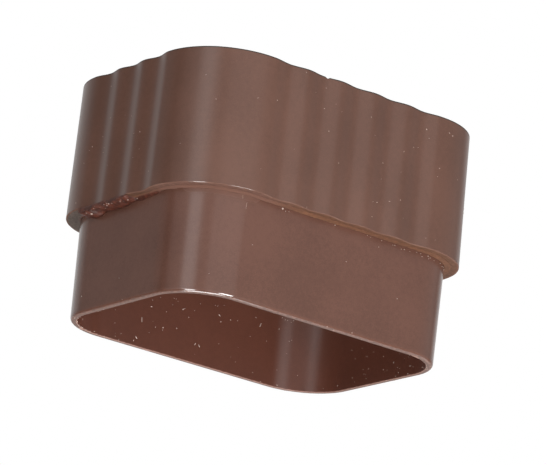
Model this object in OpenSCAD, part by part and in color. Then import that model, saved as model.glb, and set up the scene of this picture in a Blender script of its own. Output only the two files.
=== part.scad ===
// Downpipe connector: a fluted sleeve that takes the upper pipe, cemented
// round a plain spigot that goes into the lower pipe. Modelled as in use,
// with the spigot's rim on z = 0 and the long sides along X.

/* [Fluted sleeve] */
// Width of the mouth inside, for a pipe 100 mm wide
mouth_w = 100.6; // [85:0.1:125]
// Depth of the mouth inside, for a pipe 73 mm deep
mouth_d = 73.3; // [62:0.1:95]
// Corner radius of the mouth inside
mouth_corner_r = 18.7; // [12:0.1:24]
// Wall of the sleeve at the crests of the flutes
sleeve_wall = 2.6; // [1.8:0.1:5]
// Height of the sleeve
sleeve_h = 40.6; // [30:0.1:80]
// How far each side leans in from the end face to the mouth
sleeve_draft = 0.37; // [0:0.01:1.5]

/* [Flutes] */
// Depth of a flute from crest to trough
flute_depth = 0.95; // [0.2:0.05:1.4]
// Distance from flute to flute on the long sides
long_pitch = 12.25; // [6:0.05:20]
// Distance from flute to flute on the short sides
short_pitch = 11.9; // [6:0.05:20]
// Most flutes on a long side
long_flutes = 5; // [1:1:9]
// Most flutes on a short side
short_flutes = 3; // [1:1:6]

/* [Spigot] */
// Length of the spigot below the sleeve
spigot_len = 30.4; // [20:0.1:80]
// Wall of the spigot
spigot_wall = 2.0; // [1.4:0.1:4]
// How far each side leans in from the sleeve to the rim
spigot_draft = 0.55; // [0:0.01:1.5]
// Rounding of the rim's outer edge
rim_round = 1.0; // [0.2:0.1:3]

/* [Cemented joint] */
// Length of the spigot inside the sleeve
lap = 12; // [6:0.5:25]
// Cement between spigot and sleeve on the long sides
long_side_gap = 1.9; // [0.4:0.1:3]
// Cement between spigot and sleeve on the short sides
short_side_gap = 1.3; // [0.4:0.1:3]
// How much tighter the spigot's corner radius is than the bore's
corner_step = 1.1; // [0:0.1:3]
// How far the cement stops below the spigot's upper end
cement_short = 1.5; // [0:0.5:4]
// Reach of the squeezed-out bead at its thick end
bead_r = 3.0; // [1:0.1:3.5]
// Reach of the bead where it ends abruptly
bead_end_r = 1.6; // [0.8:0.1:3]
// Length of the squeezed-out bead
bead_len = 23; // [6:1:28]
// Distance of the bead's thick end from the middle of the short side
bead_start = 19; // [6:1:20]
// Reach of the thin tail on which the bead runs on to the corner
tail_r = 1.3; // [0.5:0.1:1.6]
// Height of the cement's fillet below the end face, all round the spigot
fillet_h = 0.4; // [0.2:0.1:1]

/* [Hidden] */
$fn = 96;

// Heights below are measured from the sleeve's end face, where the joint is
sleeve_lean = -sleeve_draft / sleeve_h;
spigot_lean = spigot_draft / spigot_len;

// The sleeve's bore and outside at its end face; its straight sides are
// the parts between the corners' centres
bore_corner_r = mouth_corner_r + sleeve_draft;
sleeve_corner_r = bore_corner_r + sleeve_wall;
sleeve_long = mouth_w - 2 * mouth_corner_r;
sleeve_short = mouth_d - 2 * mouth_corner_r;

// The spigot's outside at the same height, inside the bore
spigot_corner_r = bore_corner_r - corner_step;
spigot_long = sleeve_long + 2 * (corner_step - short_side_gap);
spigot_short = sleeve_short + 2 * (corner_step - long_side_gap);

// The rounding leaves some flat on the rim for the part to stand on
rim_r = min(rim_round, 0.6 * spigot_wall);
rim_steps = 6;

cement_top = lap - cement_short;
// The bead lies along the spigot's wall, a little away from it
bead_away = 0.2 * bead_r;
bead_lumps = 3;
lump_r = 0.25;
tail_len = sleeve_short / 2 + bead_start - bead_len;
tail_taper = 0.4;
// Share of the narrow gap that the fillet covers
fillet_share = 0.8;

flute_steps = 12;
// Reach of a cutting shape past the face that it cuts
over = 1;

// Depth of the flutes' wave at a distance x from the middle of a side
function wave(x, pitch, count) =
    let (shift = count % 2 == 1 ? 0 : 0.5)
    flute_depth * (1 + cos(360 * (x / pitch + shift))) / 2;

function flutes_that_fit(side, pitch, most) = min(most, floor(side / pitch));

// A rounded edge as points on an arc, from angle a to angle b
function rounded(centre, r, a, b, steps) =
    [for (i = [0:steps]) let (t = a + (b - a) * i / steps)
        centre + r * [cos(t), sin(t)]];

// Draws a wall's section out along Y, facing +X
module straight_wall(length) {
    translate([0, length / 2, 0])
        rotate([90, 0, 0])
            linear_extrude(height = length)
                children();
}

// Turns a wall's section round the four corners of a rounded rectangle. The
// section's x is measured outwards from a corner's centre, and its y is the height
module corners(long, short) {
    for (turn = [0:3])
        translate([(turn % 3 == 0 ? 1 : -1) * long / 2, (turn < 2 ? 1 : -1) * short / 2, 0])
            rotate([0, 0, 90 * turn])
                rotate_extrude(angle = 90)
                    children();
}

// Sets a wall against both ends of a side and faces it outwards
module on_short_sides(long) {
    for (turn = [0, 180])
        rotate([0, 0, turn])
            translate([long / 2, 0, 0])
                children();
}

module on_long_sides(short) {
    for (turn = [90, 270])
        rotate([0, 0, turn])
            translate([short / 2, 0, 0])
                children();
}

// A plain wall all round: the same section on the sides and the corners
module plain_wall(long, short) {
    corners(long, short)
        children();
    on_short_sides(long)
        straight_wall(short)
            children();
    on_long_sides(short)
        straight_wall(long)
            children();
}

// A solid with leaning sides, whose corner radius at height 0 is r
module leaning_block(long, short, r, lean, bottom, top) {
    plain_wall(long, short)
        polygon([[0, bottom], [r + lean * bottom, bottom], [r + lean * top, top], [0, top]]);
    translate([-long / 2, -short / 2, bottom])
        cube([long, short, top - bottom]);
}

// The sleeve's wall section, with extra on its outside
module sleeve_section(extra = 0) {
    polygon([
        [bore_corner_r, 0],
        [sleeve_corner_r + extra, 0],
        [sleeve_corner_r + sleeve_lean * sleeve_h + extra, sleeve_h],
        [bore_corner_r + sleeve_lean * sleeve_h, sleeve_h]
    ]);
}

// One straight side of the sleeve. The wave is drawn in plan, on the outside of
// a slab that leans with the wall and is thicker than the wall
module fluted_side(length, pitch, most) {
    count = flutes_that_fit(length, pitch, most);
    slab = sleeve_wall + 2 * over;
    end = length / 2 + over;
    steps = count * flute_steps;
    crests = [for (i = [0:steps]) let (x = (i / flute_steps - count / 2) * pitch)
        [-wave(x, pitch, count), x]];
    intersection() {
        straight_wall(length)
            sleeve_section(extra = over);
        translate([sleeve_corner_r, 0, 0])
            rotate([0, atan(sleeve_lean), 0])
                translate([0, 0, -over])
                    linear_extrude(height = sleeve_h + 2 * over)
                        polygon(concat([[-slab, -end], [0, -end]], crests, [[0, end], [-slab, end]]));
    }
}

module fluted_sleeve() {
    color("#6e5046")
        translate([0, 0, spigot_len]) {
            corners(sleeve_long, sleeve_short)
                sleeve_section();
            on_short_sides(sleeve_long)
                fluted_side(sleeve_short, short_pitch, short_flutes);
            on_long_sides(sleeve_short)
                fluted_side(sleeve_long, long_pitch, long_flutes);
        }
}

// The spigot's wall section. Its outer edge at the rim is an arc that meets the
// rim and the leaning outside without a step
module spigot_section() {
    outside = spigot_corner_r;
    lean_angle = atan(spigot_lean);
    arc_z = rim_r - spigot_len;
    arc_x = outside + spigot_lean * arc_z - rim_r / cos(lean_angle);
    polygon(concat(
        [[outside - spigot_lean * spigot_len - spigot_wall, -spigot_len]],
        rounded([arc_x, arc_z], rim_r, -90, -lean_angle, rim_steps),
        [[outside + spigot_lean * lap, lap], [outside + spigot_lean * lap - spigot_wall, lap]]
    ));
}

module spigot_tube() {
    color("#76534a")
        translate([0, 0, spigot_len])
            plain_wall(spigot_long, spigot_short)
                spigot_section();
}

// Cement pushed out under the end face on one short side, thick at one end
// and with a few lumps on it, and running on as a thin tail
module squeezed_bead() {
    side = spigot_long / 2 + spigot_corner_r + bead_away;
    intersection() {
        translate([-side, bead_start, 0])
            rotate([90, 0, 0]) {
                cylinder(h = bead_len, r1 = bead_r, r2 = bead_end_r);
                for (i = [0:bead_lumps - 1])
                    translate([0, 0, bead_len * i / bead_lumps])
                        sphere(r = bead_r + (bead_end_r - bead_r) * i / bead_lumps + lump_r);
                translate([0, 0, bead_len])
                    cylinder(h = tail_len, r1 = tail_r, r2 = tail_taper * tail_r);
            }
        translate([-2 * side, -side, -2 * bead_r])
            cube([2 * side, 2 * side, 2 * bead_r]);
    }
}

// Cement drawn out below the gap and down along the spigot
module cement_fillet() {
    inside = spigot_corner_r - spigot_wall / 2;
    reach = spigot_corner_r + fillet_share * short_side_gap;
    low = -fillet_h;
    plain_wall(spigot_long, spigot_short)
        polygon([[inside, over], [inside, low], [spigot_corner_r, low], [reach, 0], [reach, over]]);
}

module cement_joint() {
    color("#5a2d23")
        translate([0, 0, spigot_len])
            difference() {
                union() {
                    leaning_block(sleeve_long, sleeve_short, bore_corner_r, sleeve_lean, 0, cement_top);
                    squeezed_bead();
                    cement_fillet();
                }
                leaning_block(spigot_long, spigot_short, spigot_corner_r, spigot_lean, -2 * bead_r, lap);
            }
}

fluted_sleeve();
spigot_tube();
cement_joint();
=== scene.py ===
import math

import bmesh
import bpy
from mathutils import Matrix, Vector, noise


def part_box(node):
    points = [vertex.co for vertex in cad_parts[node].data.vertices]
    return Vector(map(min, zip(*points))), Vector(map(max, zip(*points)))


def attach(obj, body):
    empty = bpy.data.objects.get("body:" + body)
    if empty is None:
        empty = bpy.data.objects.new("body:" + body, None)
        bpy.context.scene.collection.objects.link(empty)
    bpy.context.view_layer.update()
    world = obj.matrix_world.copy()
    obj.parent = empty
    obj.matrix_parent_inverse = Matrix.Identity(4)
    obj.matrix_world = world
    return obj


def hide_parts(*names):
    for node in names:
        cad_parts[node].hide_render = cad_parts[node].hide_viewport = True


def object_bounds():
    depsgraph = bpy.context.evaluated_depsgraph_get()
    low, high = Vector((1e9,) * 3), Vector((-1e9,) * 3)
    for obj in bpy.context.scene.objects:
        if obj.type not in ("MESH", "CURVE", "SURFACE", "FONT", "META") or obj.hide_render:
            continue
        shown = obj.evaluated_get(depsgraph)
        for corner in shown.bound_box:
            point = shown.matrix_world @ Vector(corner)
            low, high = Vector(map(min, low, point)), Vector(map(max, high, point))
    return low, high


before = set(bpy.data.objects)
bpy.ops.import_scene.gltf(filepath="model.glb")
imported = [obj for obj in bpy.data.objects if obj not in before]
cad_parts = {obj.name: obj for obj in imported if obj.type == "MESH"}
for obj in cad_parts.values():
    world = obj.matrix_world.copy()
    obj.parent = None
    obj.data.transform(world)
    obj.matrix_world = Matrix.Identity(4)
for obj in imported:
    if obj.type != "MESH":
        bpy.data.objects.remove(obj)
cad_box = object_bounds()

# Spigot
# The plain lower tube that goes into the lower pipe: injection-moulded brown PVC with a slight
# taper and a rounded rim, solvent-cemented into the sleeve above it.
MM = 0.001

spigot_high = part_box("spigot_tube")[1]
sleeve_low, sleeve_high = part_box("fluted_sleeve")
END_FACE = sleeve_low.z

SPIGOT_WALL = 2.0 * MM
SPIGOT_LEAN = 0.55 / 30.4
SPIGOT_TOP_CORNER = 18.19 * MM
RIM_ROUNDING = 1.0 * MM
RIM_INNER_ROUNDING = 0.25 * MM
SPIGOT_TOP_ROUNDING = 0.3 * MM
SPIGOT_SPACING = 0.7 * MM
SPIGOT_UNEVENNESS = 0.03 * MM

SPIGOT_BROWN = (0.168, 0.077, 0.055)
SPIGOT_ROUGHNESS = 0.2
SPIGOT_GRAIN = 0.06
# The bore's darker, redder brown is painted shade inside the tube
BORE_PAINTED_SHADE_BROWN = (0.145, 0.048, 0.029)
BORE_ROUGHNESS = 0.4
BORE_GLOSS = 0.75
BORE_STREAKING = 0.9
PATCH_SIZE = 22 * MM
MOTTLE_SIZE = 1.5 * MM
GRAIN_SIZE = 0.3 * MM
GRAIN_DEPTH = 0.05 * MM

# The rim's pale colour is painted light from below; raised by 1.6 on the inner edge, it is a
# painted highlight line
RIM_PAINTED_LIGHT = (0.215, 0.12, 0.094)
RIM_ROUGHNESS = 0.5
RIM_PAINTED_LIGHT_HEIGHT = 0.6 * MM
FLAT_HEIGHT = 0.02 * MM
BURNISHED_HEIGHT = 0.6 * MM
BURNISHED_CORNER = (-42 * MM, -32 * MM, 0)
BURNISHED_SHARE = 0.7
BURNISHED_IOR = 2.4
BURNISHED_ROUGHNESS = 0.05
# Pale dust below the joint, which is also painted light over the shade that the sleeve's end
# casts on the wall
JOINT_DUST_AND_PAINTED_LIGHT = (0.25, 0.135, 0.1)
JOINT_DUST_AND_LIGHT_SHARE = 0.5
JOINT_DUST_AND_LIGHT_REACH = 2.6 * MM
DUST_AND_LIGHT_CORNER = (-40 * MM, -34.5 * MM, END_FACE)

ROUNDING_STEPS = 5
SUPPORT = 0.5 * MM


class Signal:
    """An output of a node. Sums, products and comparisons of signals add Math nodes."""

    def __init__(self, graph, socket):
        self.graph = graph
        self.socket = socket

    def math(self, operation, first, second=0.0):
        return self.graph.node("ShaderNodeMath", {"operation": operation},
                               {"Value": first, "Value_001": second})

    def __add__(self, other):
        return self.math("ADD", self, other)

    def __sub__(self, other):
        return self.math("SUBTRACT", self, other)

    def __rsub__(self, other):
        return self.math("SUBTRACT", other, self)

    def __mul__(self, other):
        return self.math("MULTIPLY", self, other)

    def __truediv__(self, other):
        return self.math("DIVIDE", self, other)

    def __lt__(self, other):
        return self.math("LESS_THAN", self, other)

    def __gt__(self, other):
        return self.math("GREATER_THAN", self, other)

    def __abs__(self):
        return self.math("ABSOLUTE", self)

    __radd__ = __add__
    __rmul__ = __mul__


class Graph:
    """Adds nodes to a node tree, by the identifiers of their sockets."""

    def __init__(self, tree):
        self.tree = tree

    def node(self, kind, settings=None, values=None, output=None):
        made = self.tree.nodes.new(kind)
        for name, setting in (settings or {}).items():
            setattr(made, name, setting)
        for name, value in (values or {}).items():
            socket = next(s for s in made.inputs if s.identifier == name)
            if isinstance(value, Signal):
                self.tree.links.new(value.socket, socket)
            else:
                socket.default_value = value
        if not made.outputs:
            return None
        if output is None:
            return Signal(self, made.outputs[0])
        return Signal(self, made.outputs[output])

    def ramp(self, signal, start, end, low=0.0, high=1.0):
        return self.node("ShaderNodeMapRange", {"interpolation_type": "SMOOTHSTEP"},
                         {"Value": signal, "From Min": start, "From Max": end,
                          "To Min": low, "To Max": high})

    def blend(self, share, first, second):
        return self.node("ShaderNodeMix", {"data_type": "RGBA"},
                         {"Factor_Float": share, "A_Color": first, "B_Color": second},
                         output=2)

    def axes(self, vector):
        return [self.node("ShaderNodeSeparateXYZ", values={"Vector": vector}, output=i)
                for i in range(3)]

    def point(self, x, y, z):
        return self.node("ShaderNodeCombineXYZ", values={"X": x, "Y": y, "Z": z})

    def near(self, place, point, start, end):
        """1 within the distance end of a point, 0 beyond the distance start"""
        distance = self.node("ShaderNodeVectorMath", {"operation": "DISTANCE"},
                             {"Vector": place, "Vector_001": point}, output="Value")
        return self.ramp(distance, start, end)

    def cloud(self, place, size, detail=2.0):
        return self.node("ShaderNodeTexNoise", values={"Vector": place, "Scale": 1 / size,
                                                       "Detail": detail})


def geometry_tree(name, inputs):
    """A Geometry Nodes tree with named inputs; returns its graph, its input signals and the
    identifiers by which a modifier sets them"""
    tree = bpy.data.node_groups.new(name, "GeometryNodeTree")
    tree.interface.new_socket("Geometry", in_out="OUTPUT", socket_type="NodeSocketGeometry")
    keys = {}
    for title, kind in inputs.items():
        keys[title] = tree.interface.new_socket(title, socket_type="NodeSocket" + kind).identifier
    graph = Graph(tree)
    source = tree.nodes.new("NodeGroupInput")
    signals = {title: Signal(graph, source.outputs[title]) for title in inputs}
    return graph, signals, keys


def wall_tree():
    """Wraps a wall's section round a rounded rectangle and presses flutes into its straight
    sides"""
    graph, given, keys = geometry_tree("Wall round a pipe", {
        "Section": "Geometry", "Long": "Float", "Short": "Float", "Corner Radius": "Float",
        "Spacing": "Float", "Flute Depth": "Float", "Long Pitch": "Float",
        "Short Pitch": "Float", "Long Flutes": "Float", "Short Flutes": "Float",
        "Unevenness": "Float", "Finish": "Material"})
    node = graph.node
    radius = given["Corner Radius"]
    outline = node("GeometryNodeCurvePrimitiveQuadrilateral", {"mode": "RECTANGLE"},
                   {"Width": given["Long"] + radius * 2, "Height": given["Short"] + radius * 2})
    outline = node("GeometryNodeFilletCurve", {"mode": "POLY"},
                   {"Curve": outline, "Radius": radius, "Count": 256})
    outline = node("GeometryNodeResampleCurve", {"mode": "LENGTH"},
                   {"Curve": outline, "Length": given["Spacing"]})
    section = node("GeometryNodeMeshToCurve", values={"Mesh": given["Section"]})
    section = node("GeometryNodeTransform",
                   values={"Geometry": section, "Rotation": (math.pi / 2, 0, 0)})
    wall = node("GeometryNodeCurveToMesh", values={"Curve": outline, "Profile Curve": section})
    wall = node("GeometryNodeFlipFaces", values={"Mesh": wall})

    x, y, _ = graph.axes(node("GeometryNodeInputPosition"))
    outside = node("GeometryNodeInputNamedAttribute", {"data_type": "FLOAT"}, {"Name": "outside"})

    def flutes(along, across, pitch, count, half_side):
        turn = node("ShaderNodeMath", {"operation": "COSINE"},
                    {"Value": along * (2 * math.pi) / pitch})
        side = node("ShaderNodeMath", {"operation": "SIGN"}, {"Value": across})
        here = (abs(along) < count * pitch / 2) * (abs(across) > half_side)
        return side * here * outside * (turn + 1) * given["Flute Depth"] * -0.5

    pressed = graph.point(
        flutes(y, x, given["Short Pitch"], given["Short Flutes"], given["Long"] / 2),
        flutes(x, y, given["Long Pitch"], given["Long Flutes"], given["Short"] / 2), 0.0)
    wall = node("GeometryNodeSetPosition", values={"Geometry": wall, "Offset": pressed})
    tall = node("ShaderNodeVectorMath", {"operation": "MULTIPLY"},
                {"Vector": node("GeometryNodeInputPosition"), "Vector_001": (1, 1, 0.3)})
    uneven = graph.cloud(tall, 9 * MM) * given["Unevenness"] * -1
    inward = node("ShaderNodeVectorMath", {"operation": "SCALE"},
                  {"Vector": node("GeometryNodeInputNormal"), "Scale": uneven})
    wall = node("GeometryNodeSetPosition", values={"Geometry": wall, "Offset": inward})
    wall = node("GeometryNodeSetShadeSmooth", values={"Geometry": wall})
    wall = node("GeometryNodeRealizeInstances", values={"Geometry": wall})
    wall = node("GeometryNodeSetMaterial", values={"Geometry": wall, "Material": given["Finish"]})
    node("NodeGroupOutput", values={"Socket_0": wall})
    return graph.tree, keys


def rounded_section(corners, roundings, rows):
    """Points round a wall's section, as (outward, height). Each corner is rounded, and each
    side from a corner to the next has points near its ends and is split into rows"""
    arcs = []
    for i, corner in enumerate(corners):
        corner = Vector(corner)
        back = (Vector(corners[i - 1]) - corner).normalized()
        ahead = (Vector(corners[(i + 1) % len(corners)]) - corner).normalized()
        half = back.angle(ahead) / 2
        centre = corner + (back + ahead).normalized() * roundings[i] / math.sin(half)
        start = corner + back * roundings[i] / math.tan(half) - centre
        sweep = math.pi - 2 * half
        arcs.append([centre + Matrix.Rotation(sweep * k / ROUNDING_STEPS, 2) @ start
                     for k in range(ROUNDING_STEPS + 1)])
    points = []
    for i, arc in enumerate(arcs):
        side = arcs[(i + 1) % len(arcs)][0] - arc[-1]
        support = side.normalized() * min(SUPPORT, side.length / 4)
        points += arc + [arc[-1] + support]
        points += [arc[-1] + side * k / rows[i] for k in range(1, rows[i])]
        points.append(arc[-1] + side - support)
    return points


def wrapped_wall(name, points, outside, finish, sizes):
    """A piece made by the wall tree from a section's points; outside(point) is 1 where the
    wall can be fluted and 0 on its bore"""
    mesh = bpy.data.meshes.new(name + "_section")
    loop = [(i, (i + 1) % len(points)) for i in range(len(points))]
    mesh.from_pydata([(p.x, 0, p.y) for p in points], loop, [])
    share = mesh.attributes.new("outside", "FLOAT", "POINT")
    share.data.foreach_set("value", [outside(p) for p in points])
    draft = bpy.data.objects.new(name + "_draft", mesh)
    bpy.context.scene.collection.objects.link(draft)
    wrap = draft.modifiers.new("wall", "NODES")
    wrap.node_group = WALL_TREE
    for title, value in sizes.items():
        wrap[WALL_KEYS[title]] = value
    wrap[WALL_KEYS["Finish"]] = finish
    return plain_piece(name, draft)


def plain_piece(name, draft):
    """A new object with the draft's evaluated mesh; the draft and its modifiers go"""
    ready = draft.evaluated_get(bpy.context.evaluated_depsgraph_get())
    mesh = bpy.data.meshes.new_from_object(ready)
    mesh.name = name
    piece = bpy.data.objects.new(name, mesh)
    bpy.context.scene.collection.objects.link(piece)
    bpy.data.objects.remove(draft)
    return piece


def new_finish(name):
    """A material and its graph, with nothing in it"""
    material = bpy.data.materials.new(name)
    material.use_nodes = True
    material.node_tree.nodes.clear()
    return material, Graph(material.node_tree)


def toned(colour, tone):
    """A colour made darker or lighter, with an alpha of 1"""
    return [c * tone for c in colour] + [1]


def brown_pvc(name, brown, roughness, grain_height, ends):
    """Brown PVC with faint patches and grain, and a darker, redder bore, painted shade inside the
    tube, whose fine upright marks streak its reflections. ends(graph, place, outside) gives the
    share of the rim or sawn ends, whose colours carry painted light and shade, their colour and
    roughness, and how burnished their edges are"""
    material, graph = new_finish(name)
    place = graph.node("ShaderNodeTexCoord", output="Object")
    outside = graph.node("ShaderNodeAttribute", {"attribute_name": "outside"}, output="Fac")
    patches = graph.cloud(place, PATCH_SIZE)
    mottle = graph.cloud(place, MOTTLE_SIZE)
    grain = graph.cloud(place, GRAIN_SIZE)
    tone = patches * 0.4 + mottle * 0.2 + grain * 0.4
    # Painted shade: the bore is darker and redder than the outside
    brown = graph.blend(outside > 0.5, BORE_PAINTED_SHADE_BROWN + (1,), brown + (1,))
    shade = graph.blend(graph.ramp(tone, 0.35, 0.65), toned((1, 1, 1), 0.78),
                        toned((1, 1, 1), 1.02))
    colour = graph.node("ShaderNodeMix", {"data_type": "RGBA", "blend_type": "MULTIPLY"},
                        {"Factor_Float": 1.0, "A_Color": brown, "B_Color": shade}, output=2)
    end_share, end_colour, end_roughness, burnished = ends(graph, place, outside)
    colour = graph.blend(end_share, colour, end_colour)
    bump = graph.node("ShaderNodeBump", values={"Height": grain * 0.6 + mottle * 0.4,
                                                "Strength": grain_height,
                                                "Distance": GRAIN_DEPTH})
    finish = {"Base Color": colour, "IOR": 1.5, "Normal": bump, "Coat Weight": burnished,
              "Coat IOR": BURNISHED_IOR, "Coat Roughness": BURNISHED_ROUGHNESS,
              "Roughness": roughness + 0.06 * mottle + end_share * (end_roughness - roughness)}
    skin = graph.node("ShaderNodeBsdfPrincipled", values=finish)
    bore = graph.node("ShaderNodeBsdfPrincipled",
                      values=finish | {"Anisotropic": BORE_STREAKING,
                                       "Anisotropic Rotation": 0.25,
                                       "Specular IOR Level": BORE_GLOSS,
                                       "Roughness": BORE_ROUGHNESS})
    no_bore = graph.node("ShaderNodeMath", {"operation": "MAXIMUM"},
                         {"Value": outside > 0.5, "Value_001": end_share})
    surface = graph.node("ShaderNodeMixShader", values={"Fac": no_bore, "Shader": bore,
                                                        "Shader_001": skin})
    graph.node("ShaderNodeOutputMaterial", values={"Surface": surface})
    return material


def rim_and_joint_painted_light(graph, place, outside):
    """The rim is painted paler than the wall, as painted light from below. Its inner edge is
    paler still, a painted highlight line, and its flat face is darker. Its outer edge is
    burnished near one corner. Pale dust lies on the wall just below the joint at the same corner;
    it is also painted light over the shade under the sleeve's end"""
    height = graph.axes(place)[2]
    patchiness = graph.cloud(place, 1.2 * MM, 3.0)
    share = graph.ramp(height + patchiness * 0.5 * MM, RIM_PAINTED_LIGHT_HEIGHT, RIM_PAINTED_LIGHT_HEIGHT * 0.6)
    # Painted light: the rim is paler where light from below falls, in patches
    tone = graph.blend(graph.ramp(patchiness, 0.4, 0.6), toned(RIM_PAINTED_LIGHT, 0.65), toned(RIM_PAINTED_LIGHT, 1.1))
    # Painted highlight: a paler line on the rim's inner edge
    inner_edge = (outside < 0.5) * (height > FLAT_HEIGHT)
    tone = graph.blend(inner_edge, tone, toned(RIM_PAINTED_LIGHT, 1.6))
    tone = graph.blend(height < FLAT_HEIGHT, tone, toned(RIM_PAINTED_LIGHT, 0.7))
    burnished = (graph.ramp(height, BURNISHED_HEIGHT * 1.5, BURNISHED_HEIGHT)
                 * graph.ramp(height, FLAT_HEIGHT, 0.2 * MM)
                 * graph.near(place, BURNISHED_CORNER, 24 * MM, 16 * MM) * BURNISHED_SHARE)
    # Pale dust below the joint, and also painted light over the shade under the sleeve's end
    dust_and_painted_light = (graph.ramp(height, END_FACE - JOINT_DUST_AND_LIGHT_REACH, END_FACE) * outside
            * graph.near(place, DUST_AND_LIGHT_CORNER, 14 * MM, 9 * MM) * JOINT_DUST_AND_LIGHT_SHARE)
    tone = graph.blend(height > END_FACE - JOINT_DUST_AND_LIGHT_REACH, tone, JOINT_DUST_AND_PAINTED_LIGHT + (1,))
    return share + dust_and_painted_light, tone, RIM_ROUGHNESS, burnished


WALL_TREE, WALL_KEYS = wall_tree()

spigot_straight_x = 2 * (spigot_high.x - SPIGOT_TOP_CORNER)
spigot_straight_y = 2 * (spigot_high.y - SPIGOT_TOP_CORNER)
spigot_rim_in = -SPIGOT_LEAN * spigot_high.z

spigot = wrapped_wall(
    "spigot",
    rounded_section(
        [(spigot_rim_in - SPIGOT_WALL, 0), (spigot_rim_in, 0),
         (0, spigot_high.z), (-SPIGOT_WALL, spigot_high.z)],
        [RIM_INNER_ROUNDING, RIM_ROUNDING, SPIGOT_TOP_ROUNDING, SPIGOT_TOP_ROUNDING],
        [1, 16, 1, 12]),
    lambda point: float(point.x - SPIGOT_LEAN * (point.y - spigot_high.z) > -SPIGOT_WALL / 2),
    # The rim's colours carry painted light and a painted highlight
    brown_pvc("moulded_brown_pvc", SPIGOT_BROWN, SPIGOT_ROUGHNESS, SPIGOT_GRAIN, rim_and_joint_painted_light),
    {"Long": spigot_straight_x, "Short": spigot_straight_y,
     "Corner Radius": SPIGOT_TOP_CORNER, "Spacing": SPIGOT_SPACING,
     "Long Pitch": 1.0, "Short Pitch": 1.0, "Unevenness": SPIGOT_UNEVENNESS})
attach(spigot, "root")
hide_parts("spigot_tube")

# Sleeve
# The upper, wider piece that the upper pipe goes into: a length of extruded brown PVC with
# shallow flutes on its four flat sides, sawn off square at both ends.
SLEEVE_WALL = 2.6 * MM
SLEEVE_LEAN = -0.37 / 40.6
SLEEVE_CORNER = 21.67 * MM
SAWN_EDGE = 0.2 * MM
BORE_EDGE = 0.12 * MM
SLEEVE_SPACING = 0.5 * MM
SLEEVE_UNEVENNESS = 0.07 * MM
FLUTE_DEPTH = 0.95 * MM
LONG_PITCH = 12.25 * MM
SHORT_PITCH = 11.9 * MM

SLEEVE_BROWN = (0.166, 0.078, 0.054)
SLEEVE_ROUGHNESS = 0.29
SLEEVE_GRAIN = 0.2
SAWN_BROWN = (0.156, 0.063, 0.029)
# A pinker end face near one corner, a painted sheen
SAWN_PAINTED_SHEEN = (0.18, 0.082, 0.055)
# A mottled grey at one corner of the end face, a painted grazing reflection
GREY_PAINTED_REFLECTION = (0.115, 0.083, 0.067)
SAWN_ROUGHNESS = 0.75
CUT_DEPTH = 0.06 * MM
# Pale patches along the lower end's outer edge, painted highlights
EDGE_PAINTED_HIGHLIGHT = (0.2, 0.105, 0.075)
EDGE_DEPTHS = (0.02 * MM, 0.17 * MM)
OUTER_EDGE = 0.9
# A dark line on the mouth's outer edge, painted shade
MOUTH_PAINTED_SHADE = (0.035, 0.027, 0.023)
MOUTH_SHADE_HEIGHT = 0.36 * MM
GREY_CORNER = (-47 * MM, 31 * MM, END_FACE)
NEAR_CORNER = (-44 * MM, -35 * MM, END_FACE)
BURNISHED_EDGES = [(-48 * MM, -32.2 * MM, END_FACE), (-37.2 * MM, -38.9 * MM, END_FACE)]
BURNISHED_REACH = (2.7 * MM, 3.9 * MM)
NICK_X = -11.1 * MM
NICK_DEPTH = 0.8 * MM
NICK_REACH = 0.6 * MM


def painted_grey_reflection(graph, place, tone):
    """A mottled grey over a tone at one corner of the end face, a painted grazing reflection"""
    grey_reflection = graph.blend(graph.ramp(graph.cloud(place, 0.7 * MM), 0.35, 0.65),
                        toned(GREY_PAINTED_REFLECTION, 0.75), toned(GREY_PAINTED_REFLECTION, 1.3))
    return graph.blend(graph.near(place, GREY_CORNER, 17 * MM, 9 * MM), tone, grey_reflection)


def sawn_ends(graph, place, outside):
    """Both ends are sawn and streaked. Near one corner the lower end is pinker, a painted sheen,
    and at another it is grey, a painted reflection. The lower end's outer edge has pale painted
    highlights here and there, and is burnished in two places near one corner; the mouth's outer
    edge is painted dark, a painted shade line"""
    x, y, z = graph.axes(place)
    near_end = z < END_FACE + CUT_DEPTH
    near_mouth = z > sleeve_high.z - CUT_DEPTH
    streaks = graph.cloud(graph.point(x * 0.3, y, z), 0.5 * MM)
    # Painted sheen: the end face turns pinker near one corner
    tone = graph.blend(graph.near(place, NEAR_CORNER, 34 * MM, 14 * MM), SAWN_BROWN + (1,),
                       SAWN_PAINTED_SHEEN + (1,))
    tone = graph.blend(graph.ramp(streaks, 0.7, 0.3, 0.0, 0.35), tone, (0, 0, 0, 1))
    # Painted reflection: grey at one corner of the end face
    tone = painted_grey_reflection(graph, place, tone)
    edge = ((outside > OUTER_EDGE) * (z > END_FACE + EDGE_DEPTHS[0])
            * (z < END_FACE + EDGE_DEPTHS[1]))
    # Painted highlights: pale patches along the lower end's outer edge
    painted_highlight_patches = graph.ramp(graph.cloud(place, 5 * MM), 0.46, 0.62)
    tone = graph.blend(edge, tone, graph.blend(painted_highlight_patches, SLEEVE_BROWN + (1,), EDGE_PAINTED_HIGHLIGHT + (1,)))
    # Painted shade: a dark line along the mouth's outer edge
    mouth_shade = (outside > OUTER_EDGE) * (z > sleeve_high.z - MOUTH_SHADE_HEIGHT)
    tone = graph.blend(mouth_shade, tone, MOUTH_PAINTED_SHADE + (1,))
    bright, faint = [graph.near(place, point, reach * 1.2, reach * 0.8)
                     for point, reach in zip(BURNISHED_EDGES, BURNISHED_REACH)]
    burnished = edge * (bright + faint * 0.6)
    return near_end + near_mouth * (1 - mouth_shade) + mouth_shade + edge, tone, SAWN_ROUGHNESS, burnished


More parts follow.
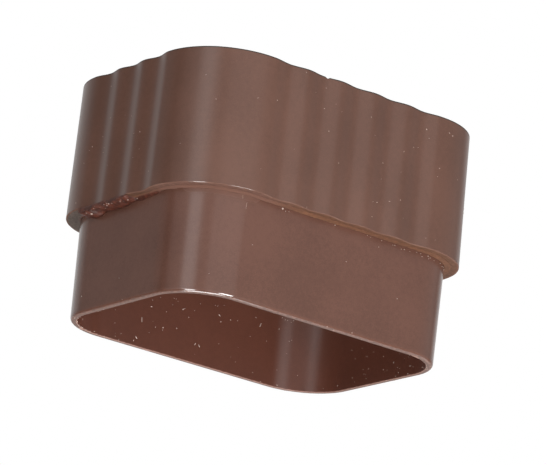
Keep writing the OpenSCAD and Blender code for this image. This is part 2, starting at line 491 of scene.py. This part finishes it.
def nick(piece):
    """A small chip knocked out of the edge of the mouth, on the near long side"""
    for vertex in piece.data.vertices:
        away = abs(vertex.co.x - NICK_X)
        if vertex.co.y < 0 and away < NICK_REACH:
            chipped = sleeve_high.z - NICK_DEPTH * (1 - away / NICK_REACH)
            vertex.co.z = min(vertex.co.z, chipped)


def share_out(point):
    """1 on the outside of the sleeve's section, falling to 0 towards its bore"""
    depth = (point.x - SLEEVE_LEAN * (point.y - END_FACE)) / SLEEVE_WALL
    return min(1.0, max(0.0, 1.15 + depth * 1.2))


sleeve_top_lean = SLEEVE_LEAN * (sleeve_high.z - END_FACE)

sleeve = wrapped_wall(
    "sleeve",
    rounded_section(
        [(-SLEEVE_WALL, END_FACE), (0, END_FACE),
         (sleeve_top_lean, sleeve_high.z), (sleeve_top_lean - SLEEVE_WALL, sleeve_high.z)],
        [BORE_EDGE, SAWN_EDGE, SAWN_EDGE, BORE_EDGE],
        [4, 20, 4, 12]),
    share_out,
    brown_pvc("extruded_brown_pvc", SLEEVE_BROWN, SLEEVE_ROUGHNESS, SLEEVE_GRAIN, sawn_ends),
    {"Long": 2 * (sleeve_high.x - SLEEVE_CORNER), "Short": 2 * (sleeve_high.y - SLEEVE_CORNER),
     "Corner Radius": SLEEVE_CORNER, "Spacing": SLEEVE_SPACING, "Flute Depth": FLUTE_DEPTH,
     "Long Pitch": LONG_PITCH, "Short Pitch": SHORT_PITCH, "Long Flutes": 5.0,
     "Short Flutes": 3.0, "Unevenness": SLEEVE_UNEVENNESS})
nick(sleeve)
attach(sleeve, "root")
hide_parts("fluted_sleeve")

# Cement
# Solvent cement in the gap between spigot and sleeve. All round it is wiped nearly flush; on one
# short side it set as a lumpy dark red bead over the sleeve's end, and as a thin run beside it.
CEMENT_TOP = END_FACE + 10.5 * MM
SIDE_POINTS = 200
CORNER_POINTS = 50
SECTION_POINTS = 16
SLEEVE_BORE_CORNER = SLEEVE_CORNER - SLEEVE_WALL
SPIGOT_OUT_AT_END_FACE = -SPIGOT_LEAN * (spigot_high.z - END_FACE)
NARROW_GAP = 1.3 * MM
LEAST_HANG = 0.015 * MM
OVER_BORE_EDGE = 0.2 * MM

# How far the cement hangs below the sleeve's end, by the place along the short side, in mm
RUN_HANG = [(22, 0.3), (18.5, 1.8), (15, 2.5), (12, 2.5), (9, 1.5), (5, 1.8), (0, 1.8), (-3, 1.2),
            (-5, 1.0), (-8, 1.3), (-12, 1.2), (-16, 0.7), (-18, 0.4), (-24, 0.3)]
LONG_SIDE_HANG = 0.3 * MM
# The bead's ends along the short side, and its reach out from the spigot
BEAD_ENDS = (18.8 * MM, -5.6 * MM)
BEAD_REACH = 3.8 * MM
CEMENT_RED = (0.1, 0.027, 0.015)
CEMENT_BROWN = (0.168, 0.068, 0.032)
CEMENT_ROUGHNESS = 0.8
RED_ROUGHNESS = 0.48
BUBBLE_DEPTH = 0.12 * MM


def outline(straight_x, straight_y, radius):
    """Points round a rounded rectangle, the same number for any size"""
    centres = [Vector((x * straight_x / 2, y * straight_y / 2))
               for x, y in ((1, 1), (-1, 1), (-1, -1), (1, -1))]
    points = []
    for turn in range(4):
        for k in range(CORNER_POINTS + 1):
            angle = math.pi / 2 * (turn + k / CORNER_POINTS)
            points.append(centres[turn] + radius * Vector((math.cos(angle), math.sin(angle))))
        angle = math.pi / 2 * (turn + 1)
        end = centres[(turn + 1) % 4] + radius * Vector((math.cos(angle), math.sin(angle)))
        points += [points[-1].lerp(end, k / SIDE_POINTS) for k in range(1, SIDE_POINTS)]
    return points


def between(table, value):
    """A value read from a table of pairs, which run downwards"""
    for (high, above), (low, below) in zip(table, table[1:]):
        if low <= value <= high:
            share = (value - low) / (high - low)
            return below + (above - below) * share * share * (3 - 2 * share)
    return table[0][1] if value > table[0][0] else table[-1][1]


def on_run(place):
    """1 on the short side with the bead and the run, 0 elsewhere"""
    return max(0.0, min(1.0, (-place.x - 43 * MM) / (3 * MM), (place.y + 19 * MM) / (3 * MM)))


def on_bead(place):
    """1 along the bead, 0 elsewhere"""
    fades = [(BEAD_ENDS[0] - place.y) / (3 * MM), (place.y - BEAD_ENDS[1]) / (1.2 * MM)]
    return max(0.0, min(1.0, *fades)) * on_run(place)


def cement_hang(place):
    """How far the cement hangs at a place: ragged all round and more on the near long side's
    left end, and as deep as the run on the short side that has one"""
    coarse = noise.noise(Vector((place.x, place.y, 0)) / (3.5 * MM))
    fine = noise.noise(Vector((place.x, place.y, 1)) / (0.9 * MM))
    left = max(0.0, min(1.0, (8 * MM - place.x) / (12 * MM)))
    front = max(0.2, min(1.0, -place.y / (20 * MM)))
    plain = LONG_SIDE_HANG * front * (0.35 + 0.65 * left) * (1 + 0.7 * coarse + 0.3 * fine)
    run = (between(RUN_HANG, place.y / MM) + 0.25 * coarse + 0.1 * fine) * MM
    return plain + (run - plain) * on_run(place)


def under_joint(a, b, share):
    """The cement's underside between a on the spigot and b on the sleeve, and its depth"""
    bead = on_bead(a)
    ragged = noise.noise(Vector((a.y, 7 * MM, 0)) / (2 * MM)) * 0.15
    place = a.lerp(b, share * (1 + (BEAD_REACH / NARROW_GAP + ragged - 1) * bead))
    place.x = max(place.x, cad_box[0].x)
    lump = noise.noise(Vector((place.x, place.y, share * 2 * MM)) / (1.1 * MM))
    level = math.sqrt(1 - min(1.0, share * share))
    full = level ** 0.6 + 0.2 * lump * share * level
    hollow = (1 - share) ** 2.2
    low = max(LEAST_HANG, cement_hang(a) * (hollow + (full - hollow) * bead))
    return Vector((*place, END_FACE - low)), low


def cement_ring():
    """A closed ring: its underside from the spigot out to the sleeve, then up the sleeve's bore,
    across the top and down the spigot. The attribute red is 1 where it shows dark red"""
    inner = outline(spigot_straight_x, spigot_straight_y,
                    SPIGOT_TOP_CORNER + SPIGOT_OUT_AT_END_FACE)
    straight = 2 * (sleeve_high.x - SLEEVE_CORNER), 2 * (sleeve_high.y - SLEEVE_CORNER)
    bore = outline(*straight, SLEEVE_BORE_CORNER)
    outer = outline(*straight, SLEEVE_BORE_CORNER + OVER_BORE_EDGE)
    rows = []
    reds = []
    for k in range(SECTION_POINTS + 1):
        share = math.sin(math.pi / 2 * k / SECTION_POINTS)
        row = []
        for a, b in zip(inner, outer):
            place, low = under_joint(a, b, share)
            row.append(place)
            hanging = max(0.0, min(1.0, (low - 0.12 * MM) / (0.2 * MM)))
            reds.append(on_run(a) * max(on_bead(a), hanging))
        rows.append(row)
    rows.append([(*b, END_FACE + 0.3 * MM) for b in bore])
    rows.append([(*b, CEMENT_TOP) for b in bore])
    rows.append([(*a, CEMENT_TOP) for a in inner])
    reds += [0.0] * len(inner) * 3
    count = len(inner)
    faces = []
    for row in range(len(rows)):
        below = row * count
        above = (row + 1) % len(rows) * count
        for i in range(count):
            j = (i + 1) % count
            faces.append((below + i, below + j, above + j, above + i))
    mesh = bpy.data.meshes.new("cement")
    mesh.from_pydata([p for row in rows for p in row], [], faces)
    red = mesh.attributes.new("red", "FLOAT", "POINT")
    red.data.foreach_set("value", reds)
    return mesh


def set_cement():
    """Dark red, streaked and bubbly where it hangs, and elsewhere as brown as the sawn end, with
    the same painted sheen near one corner and the same painted grey reflection at another
    """
    material, graph = new_finish("set_solvent_cement")
    place = graph.node("ShaderNodeTexCoord", output="Object")
    red = graph.node("ShaderNodeAttribute", {"attribute_name": "red"}, output="Fac")
    streaks = graph.ramp(graph.cloud(place, 1.6 * MM, 3.0), 0.35, 0.65)
    dark = graph.blend(streaks, toned(CEMENT_RED, 0.7), toned(CEMENT_RED, 1.5))
    plain = graph.blend(streaks, toned(CEMENT_BROWN, 0.85), toned(CEMENT_BROWN, 1.15))
    # Painted sheen: the cement turns pinker near one corner, as the sawn end does
    plain = graph.blend(graph.near(place, NEAR_CORNER, 34 * MM, 14 * MM), plain,
                        SAWN_PAINTED_SHEEN + (1,))
    # Painted reflection: grey at the same corner as on the sawn end
    plain = painted_grey_reflection(graph, place, plain)
    bump = graph.node("ShaderNodeBump", values={"Height": graph.cloud(place, 0.4 * MM, 3.0),
                                                "Strength": 0.8, "Distance": BUBBLE_DEPTH})
    roughness = CEMENT_ROUGHNESS - red * (CEMENT_ROUGHNESS - RED_ROUGHNESS)
    surface = graph.node("ShaderNodeBsdfPrincipled",
                         values={"Base Color": graph.blend(red, plain, dark), "IOR": 1.5,
                                 "Roughness": roughness, "Normal": bump})
    graph.node("ShaderNodeOutputMaterial", values={"Surface": surface})
    return material


cement = bpy.data.objects.new("cement", cement_ring())
bpy.context.scene.collection.objects.link(cement)
cement.data.materials.append(set_cement())
for polygon in cement.data.polygons:
    polygon.use_smooth = polygon.index < SECTION_POINTS * len(cement.data.vertices) // (
        SECTION_POINTS + 4)
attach(cement, "root")
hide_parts("cement_joint")

# Swarf
# Pale crumbs and hairs of PVC and dust that cling to the walls and to the joint. They came off
# the saw and were never wiped away. The pale crumbs on the bead also stand for the glints of its
# bubbles, as painted highlights.
SLEEVE_CRUMBS = 9000.0
SPIGOT_CRUMBS = 1500.0
BORE_CRUMBS = 30000.0
RIM_CRUMBS = 40000.0
CRUMBLY_RIM = 0.8 * MM
PATCHES_OF_CRUMBS = 16 * MM
CRUMB_SIZE = 0.13 * MM
SWARF_COLOUR = (0.62, 0.48, 0.41)

# Larger crumbs below the joint on the long side, as (x, depth, size), in mm
FRONT_CRUMBS = [(-19.7, 0.65, 0.6), (-18.6, 1.1, 0.2), (-17.4, 1.0, 0.2), (-0.8, 0.5, 0.28),
                (11.1, 0.4, 0.2), (12.3, 0.6, 0.16), (16.4, 0.5, 0.24), (20.6, 0.7, 0.2),
                (21.3, 0.6, 0.26), (23.8, 1.1, 0.24), (24.9, 0.9, 0.3), (27.0, 1.0, 0.2),
                (29.5, 0.6, 0.2), (31.0, 0.6, 0.24), (31.6, 1.3, 0.2), (33.9, 0.5, 0.3),
                (34.3, 1.2, 0.22), (34.9, 0.8, 0.24), (36.8, 1.0, 0.2), (40.5, 0.6, 0.24),
                (42.2, 0.9, 0.2), (43.4, 0.6, 0.26), (44.6, 1.2, 0.2), (45.2, 0.6, 0.22)]

# Pale crumbs on the bead, which also stand for the glints of its bubbles as painted highlights,
# as (y in mm, share of its reach, size in mm)
BEAD_CRUMBS_AND_PAINTED_GLINTS = [(12.9, 0.6, 0.65), (16.0, 0.6, 0.3), (17.0, 0.8, 0.3), (15.1, 0.93, 0.3),
               (16.4, 0.95, 0.24), (14.6, 0.75, 0.24), (13.4, 0.95, 0.26), (12.6, 0.6, 0.22),
               (10.4, 0.85, 0.26), (9.8, 0.96, 0.24), (8.3, 0.7, 0.26), (6.4, 0.55, 0.28),
               (5.2, 0.92, 0.42), (4.4, 0.97, 0.4), (3.8, 0.9, 0.32), (3.2, 0.84, 0.42),
               (4.3, 0.78, 0.32), (1.7, 0.8, 0.26), (-4.3, 0.5, 0.5), (-1.8, 0.7, 0.26),
               (-6.4, 0.3, 0.36)]

# Hairs inside the spigot on its far wall, as (x, height, length, degrees from upright), in mm
HAIRS = [(-17.2, 8.5, 1.7, -8), (-2.7, 15.5, 1.2, 62), (10.5, 16.9, 1.0, -55),
         (14.7, 16.5, 0.5, 0), (25.9, 17.8, 1.4, 20), (-18.5, 2.7, 1.0, -40),
         (-19.3, 1.6, 0.6, 10), (2.7, 6.0, 0.9, 25), (4.2, 5.8, 0.9, -35), (-9.4, 8.0, 0.5, 80)]
# Burrs on the rim's inner edge at the far corner, as (x, size), in mm
RIM_BURRS = [(-45.6, 0.3), (-44.7, 0.2), (-43.6, 0.34), (-42.8, 0.2), (-41.2, 0.3), (-39.6, 0.24),
             (-38.9, 0.36), (-37.0, 0.22), (-35.2, 0.3), (-32.4, 0.2), (-29.8, 0.28)]
# Hairs on the spigot's near wall just below the joint, in the same terms
FRONT_HAIRS = [(-32.2, 27.3, 2.2, 4), (-33.7, 29.4, 1.3, -8)]
HAIR_WIDTH = 0.24 * MM
FRONT_HAIR_WIDTH = 0.07 * MM


def crumb_tree():
    """Crumbs scattered in patches over a wall's outside and bore, and over its rim"""
    graph, given, keys = geometry_tree("Crumbs on a wall", {
        "Wall": "Geometry", "Outside Density": "Float", "Bore Density": "Float",
        "Rim Density": "Float", "Size": "Float", "Seed": "Int", "Finish": "Material"})
    node = graph.node
    outside = node("GeometryNodeInputNamedAttribute", {"data_type": "FLOAT"}, {"Name": "outside"})
    place = node("GeometryNodeInputPosition")
    patches = graph.ramp(graph.cloud(place, PATCHES_OF_CRUMBS), 0.4, 0.65, 0.3, 2.2)
    density = outside * given["Outside Density"] + (1 - outside) * given["Bore Density"]
    density = density + (graph.axes(place)[2] < CRUMBLY_RIM) * given["Rim Density"]
    points = node("GeometryNodeDistributePointsOnFaces", {"distribute_method": "RANDOM"},
                  {"Mesh": given["Wall"], "Density": density * patches, "Seed": given["Seed"]})
    crumb = node("GeometryNodeMeshIcoSphere", values={"Radius": 1.0, "Subdivisions": 1})
    turn = node("FunctionNodeRandomValue", {"data_type": "FLOAT_VECTOR"},
                {"Min": (0, 0, 0), "Max": (6.28, 6.28, 6.28), "Seed": 2})
    shape = node("FunctionNodeRandomValue", {"data_type": "FLOAT_VECTOR"},
                 {"Min": (0.4, 0.4, 0.4), "Max": (1.2, 1.2, 2.4), "Seed": 3})
    size = node("ShaderNodeVectorMath", {"operation": "SCALE"},
                {"Vector": shape, "Scale": given["Size"]})
    crumbs = node("GeometryNodeInstanceOnPoints",
                  values={"Points": points, "Instance": crumb, "Rotation": turn, "Scale": size})
    crumbs = node("GeometryNodeRealizeInstances", values={"Geometry": crumbs})
    crumbs = node("GeometryNodeSetMaterial",
                  values={"Geometry": crumbs, "Material": given["Finish"]})
    node("NodeGroupOutput", values={"Socket_0": crumbs})
    return graph.tree, keys


CRUMB_TREE, CRUMB_KEYS = crumb_tree()


def crumbs_on(wall, sizes, finish):
    """The crumbs that the tree scatters on a copy of a wall"""
    draft = bpy.data.objects.new("crumbs_draft", wall.data.copy())
    bpy.context.scene.collection.objects.link(draft)
    scatter = draft.modifiers.new("scatter", "NODES")
    scatter.node_group = CRUMB_TREE
    for title, value in sizes.items():
        scatter[CRUMB_KEYS[title]] = value
    scatter[CRUMB_KEYS["Finish"]] = finish
    return plain_piece(wall.name + "_crumbs", draft)


def crumb(made, place, size, tilt=0.0, length=None):
    """A crumb or, with a length, a hair that leans by tilt in the plane of the long sides"""
    shape = Matrix.Diagonal((size / 2, size / 2, (length or size) / 2, 1))
    bmesh.ops.create_icosphere(made, subdivisions=2, radius=1.0,
                               matrix=Matrix.Translation(place)
                               @ Matrix.Rotation(math.radians(tilt), 4, "Y") @ shape)


def swarf_finish():
    """Pale PVC, from crumb to crumb more or less so"""
    material, graph = new_finish("pale_swarf")
    place = graph.node("ShaderNodeTexCoord", output="Object")
    tone = graph.cloud(place, 1.0 * MM)
    colour = graph.blend(tone, toned(SWARF_COLOUR, 0.6), toned(SWARF_COLOUR, 1.5))
    surface = graph.node("ShaderNodeBsdfPrincipled",
                         values={"Base Color": colour, "Roughness": 0.5 + 0.2 * tone})
    graph.node("ShaderNodeOutputMaterial", values={"Surface": surface})
    return material


pale_swarf = swarf_finish()
swarf_mesh = bmesh.new()
for wall, sizes in ((sleeve, {"Outside Density": SLEEVE_CRUMBS, "Seed": 4}),
                    (spigot, {"Outside Density": SPIGOT_CRUMBS, "Bore Density": BORE_CRUMBS,
                              "Rim Density": RIM_CRUMBS, "Seed": 5})):
    loose = crumbs_on(wall, sizes | {"Size": CRUMB_SIZE}, pale_swarf)
    swarf_mesh.from_mesh(loose.data)
    bpy.data.objects.remove(loose)


def on_wall(x, height, side, inset=0.0):
    """A place on the spigot's near (-1) or far (1) long side or its corners, from x in mm"""
    out = SPIGOT_TOP_CORNER - SPIGOT_LEAN * (spigot_high.z - height) - inset
    past = max(0.0, abs(x * MM) - spigot_straight_x / 2)
    return Vector((x * MM, side * (spigot_straight_y / 2 + math.sqrt(out * out - past * past)),
                   height))


for x, depth, size in FRONT_CRUMBS:
    crumb(swarf_mesh, on_wall(x, END_FACE - depth * MM, -1), size * MM)
for x, size in RIM_BURRS:
    crumb(swarf_mesh, on_wall(x, 0.25 * MM, 1, SPIGOT_WALL), size * MM)
spigot_side = spigot_high.x + SPIGOT_OUT_AT_END_FACE
# Pale crumbs on the bead, which are also painted glints of its bubbles
for y, share, size in BEAD_CRUMBS_AND_PAINTED_GLINTS:
    start = Vector((-spigot_side, y * MM))
    end = Vector((-spigot_side - NARROW_GAP - OVER_BORE_EDGE, y * MM))
    crumb(swarf_mesh, under_joint(start, end, share)[0], size * MM)
for x, height, length, tilt in HAIRS:
    crumb(swarf_mesh, on_wall(x, height * MM, 1, SPIGOT_WALL), HAIR_WIDTH, tilt, length * MM)
for x, height, length, tilt in FRONT_HAIRS:
    crumb(swarf_mesh, on_wall(x, height * MM, -1), FRONT_HAIR_WIDTH, tilt, length * MM)
for vertex in swarf_mesh.verts:
    vertex.co = [max(low, min(high, at)) for at, low, high in zip(vertex.co, *cad_box)]
swarf_data = bpy.data.meshes.new("swarf")
swarf_mesh.to_mesh(swarf_data)
swarf_mesh.free()
swarf_data.materials.append(pale_swarf)
for polygon in swarf_data.polygons:
    polygon.material_index = 0
swarf = bpy.data.objects.new("swarf", swarf_data)
bpy.context.scene.collection.objects.link(swarf)
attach(swarf, "root")

# Studio
# A pale floor under the rim, white surroundings and soft lamps. The camera looks up from below
# the floor's level, so the floor shows only from above.
AIM = Vector((2.3, -1.4, 34.6)) * MM
CAMERA_DISTANCE = 1.117
CAMERA_AZIMUTH = math.radians(-35.76)
CAMERA_ELEVATION = math.radians(-16.82)
CAMERA_ROLL = math.radians(6.18)
CAMERA_LENS = 251.5

LAMP_DISTANCE = 0.9
# Softboxes, as (name, azimuth and elevation in degrees, width and height in m, power in W)
LAMPS = [
    ("left_softbox", -64, 6, 0.36, 0.9, 1.85),
    ("left_fill", -67, 6, 1.4, 0.9, 1.8),
    ("front_softbox", -3, 6, 0.95, 0.9, 2.75),
    ("right_softbox", 58, 6, 1.1, 0.9, 1.3),
    ("back_left_softbox", -143, 12, 0.7, 0.9, 0.5),
    ("low_left_softbox", -60, -34, 0.26, 0.4, 1.8),
    ("low_front_softbox", 11, -34, 0.36, 0.4, 4.6),
    ("low_right_softbox", 100, -45, 0.6, 0.6, 1.7),
    ("bottom_softbox", -35, -85, 0.6, 0.6, 6.0),
    ("top_softbox", -35, 87, 0.35, 0.35, 5.0),
]
SWEEP_AZIMUTH = math.radians(150)
SWEEP_ELEVATION = math.radians(12)
SWEEP_LEVEL = 0.88


def seen_from(azimuth, elevation):
    """The direction of an azimuth, where 0 is in front of the long side and positive is
    towards +X, and an elevation above the floor"""
    return Vector((math.sin(azimuth) * math.cos(elevation),
                   -math.cos(azimuth) * math.cos(elevation), math.sin(elevation)))


def aimed(name, data, azimuth, elevation, distance, roll=0.0):
    """An object that looks at the part from that direction"""
    back = seen_from(azimuth, elevation)
    right = Vector((math.cos(azimuth), math.sin(azimuth), 0))
    turn = Matrix((right, back.cross(right), back)).transposed().to_4x4()
    made = bpy.data.objects.new(name, data)
    made.matrix_world = (Matrix.Translation(AIM + back * distance) @ turn
                         @ Matrix.Rotation(roll, 4, "Z"))
    bpy.context.scene.collection.objects.link(made)
    return made


def softbox(name, azimuth, elevation, width, height, power):
    """A lamp that faces the part from LAMP_DISTANCE"""
    lamp = bpy.data.lights.new(name, "AREA")
    lamp.shape = "RECTANGLE"
    lamp.size = width
    lamp.size_y = height
    lamp.energy = power
    aimed(name, lamp, math.radians(azimuth), math.radians(elevation), LAMP_DISTANCE)


def surroundings():
    """White to the camera; to the surfaces, dark but for a wide soft light at the back"""
    world = bpy.data.worlds.new("white_surroundings")
    world.use_nodes = True
    world.node_tree.nodes.clear()
    graph = Graph(world.node_tree)
    direction = graph.node("ShaderNodeTexCoord")
    facing = graph.node("ShaderNodeVectorMath", {"operation": "DOT_PRODUCT"},
                        {"Vector": direction,
                         "Vector_001": seen_from(SWEEP_AZIMUTH, SWEEP_ELEVATION)}, output="Value")
    room = graph.ramp(facing, 0.5, 0.95, 0.0, SWEEP_LEVEL)
    camera = graph.node("ShaderNodeLightPath", output="Is Camera Ray")
    through = graph.node("ShaderNodeLightPath", output="Is Transmission Ray")
    seen = graph.node("ShaderNodeMath", {"operation": "MAXIMUM"},
                      {"Value": camera, "Value_001": through})
    strength = seen + (1 - seen) * room
    light = graph.node("ShaderNodeBackground", values={"Color": (1, 1, 1, 1),
                                                       "Strength": strength})
    graph.node("ShaderNodeOutputWorld", values={"Surface": light})
    bpy.context.scene.world = world


def floor_finish():
    """Pale and matt from above, for the camera only, and fading into the white background"""
    material, graph = new_finish("pale_floor")
    place = graph.node("ShaderNodeTexCoord", output="Object")
    distance = graph.node("ShaderNodeVectorMath", {"operation": "LENGTH"}, {"Vector": place},
                          output="Value")
    under = graph.node("ShaderNodeNewGeometry", output="Backfacing")
    camera = graph.node("ShaderNodeLightPath", output="Is Camera Ray")
    shown = camera * (1 - under) * graph.ramp(distance, 0.25, 0.9, 1.0, 0.0)
    clear = graph.node("ShaderNodeBsdfTransparent")
    pale = graph.node("ShaderNodeBsdfDiffuse", values={"Color": (0.8, 0.8, 0.79, 1)})
    surface = graph.node("ShaderNodeMixShader", values={"Fac": shown, "Shader": clear,
                                                        "Shader_001": pale})
    graph.node("ShaderNodeOutputMaterial", values={"Surface": surface})
    return material


floor_mesh = bpy.data.meshes.new("floor")
floor_mesh.from_pydata([(-2, -2, 0), (2, -2, 0), (2, 2, 0), (-2, 2, 0)], [], [(0, 1, 2, 3)])
floor_mesh.materials.append(floor_finish())
floor = bpy.data.objects.new("floor", floor_mesh)
bpy.context.scene.collection.objects.link(floor)

for lamp in LAMPS:
    softbox(*lamp)
surroundings()

camera_data = bpy.data.cameras.new("camera")
camera_data.lens = CAMERA_LENS
camera_data.sensor_width = 36
camera_data.clip_end = 10
bpy.context.scene.camera = aimed("camera", camera_data, CAMERA_AZIMUTH, CAMERA_ELEVATION,
                                 CAMERA_DISTANCE, CAMERA_ROLL)
bpy.context.scene.view_settings.view_transform = "Standard"
